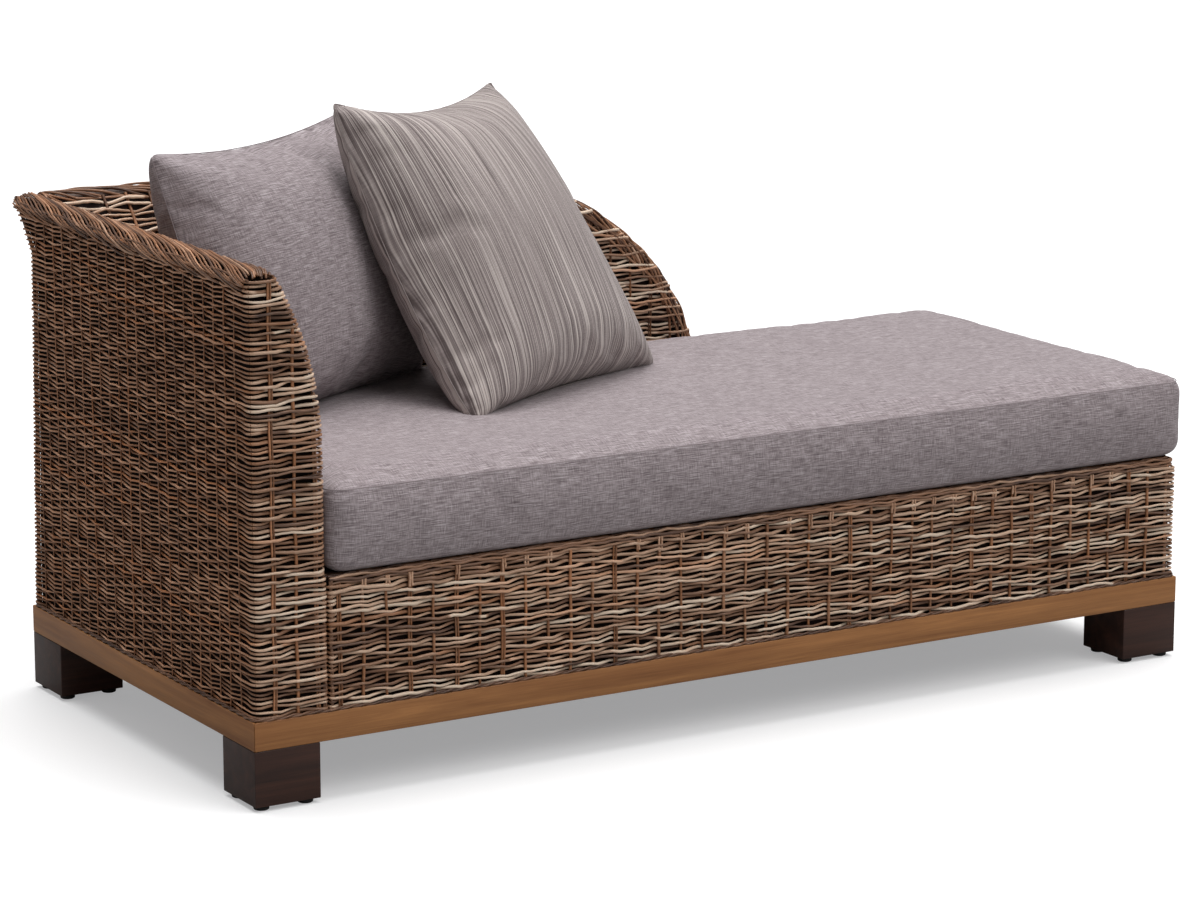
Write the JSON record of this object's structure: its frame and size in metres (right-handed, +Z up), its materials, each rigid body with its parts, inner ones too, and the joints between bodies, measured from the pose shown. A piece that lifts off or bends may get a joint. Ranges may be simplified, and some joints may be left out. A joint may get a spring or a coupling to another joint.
{
  "type": "sun lounger",
  "caption": "Woven rattan sun lounger with one arm, a back that rounds down towards the foot end, a teak plinth, dark square legs, a thick seat cushion and loose pillows.",
  "frame": {"origin": "bottom centre of the whole piece, on the floor", "axes": "+X from the head end with the arm to the foot end, +Y from the open front to the back, +Z up"},
  "size_m": [1.81, 0.899, 1.0086],
  "materials": {
    "teak": "oiled, satin, grain along the rails",
    "dark_wood": "stained, satin",
    "timber": "planed, unfinished",
    "wicker": "woven rattan, matt, mixed browns",
    "rim_wicker": "plaited rattan, matt, mixed browns",
    "glide": "matt",
    "steel": "zinc plated",
    "plain_fabric": "heather weave, matt",
    "striped_fabric": "woven with thin light and dark stripes, matt",
    "foam": "open-cell foam"
  },
  "bodies": {
    "lounger": {"plinth_front_rail": "teak", "plinth_back_rail": "teak", "plinth_head_rail": "teak", "plinth_foot_rail": "teak", "leg_head_front": "dark_wood", "leg_foot_front": "dark_wood", "leg_foot_back": "dark_wood", "leg_head_back": "dark_wood", "glides_head_front": "glide", "glides_foot_front": "glide", "glides_foot_back": "glide", "glides_head_back": "glide", "block_head_front": "timber", "block_foot_front": "timber", "block_foot_back": "timber", "block_head_back": "timber", "leg_bolts": "steel", "cross_rails": "timber", "deck_head_rail": "timber", "deck_foot_rail": "timber", "deck_front_rail": "timber", "deck_back_rail": "timber", "deck_centre_rail": "timber", "front_posts": "timber", "centre_posts": "timber", "rear_posts": "timber", "seat_slats": "timber", "arm_rib_front": "timber", "arm_rib_middle": "timber", "arm_rib_back": "timber", "arm_top_rail": "timber", "arm_mid_rails": "timber", "back_rib_1": "timber", "back_rib_2": "timber", "back_rib_3": "timber", "back_rib_4": "timber", "back_hoop": "timber", "weave_front": "wicker", "weave_foot": "wicker", "weave_rear": "wicker", "weave_arm_outside": "wicker", "weave_arm_inside": "wicker", "weave_arm_end": "wicker", "weave_back_outside": "wicker", "weave_back_inside": "wicker", "arm_rim": "rim_wicker", "back_rim": "rim_wicker", "border_front": "rim_wicker", "border_foot": "rim_wicker", "border_rear": "rim_wicker"},
    "seat_cushion": {"seat_cover": "plain_fabric", "seat_foam": "foam"},
    "plain_pillow": {"plain_pillow": "plain_fabric"},
    "striped_pillow": {"striped_pillow": "striped_fabric"}
  },
  "joints": [
    {"name": "seat_lift", "type": "slide", "parent": "lounger", "child": "seat_cushion", "axis": [0, 0, 1], "range_m": [0, 0.25]},
    {"name": "plain_lift", "type": "slide", "parent": "seat_cushion", "child": "plain_pillow", "axis": [0, 0, 1], "range_m": [0, 0.3]},
    {"name": "striped_lift", "type": "slide", "parent": "plain_pillow", "child": "striped_pillow", "axis": [0.372, -0.762, 0.53], "range_m": [0, 0.3]}
  ]
}
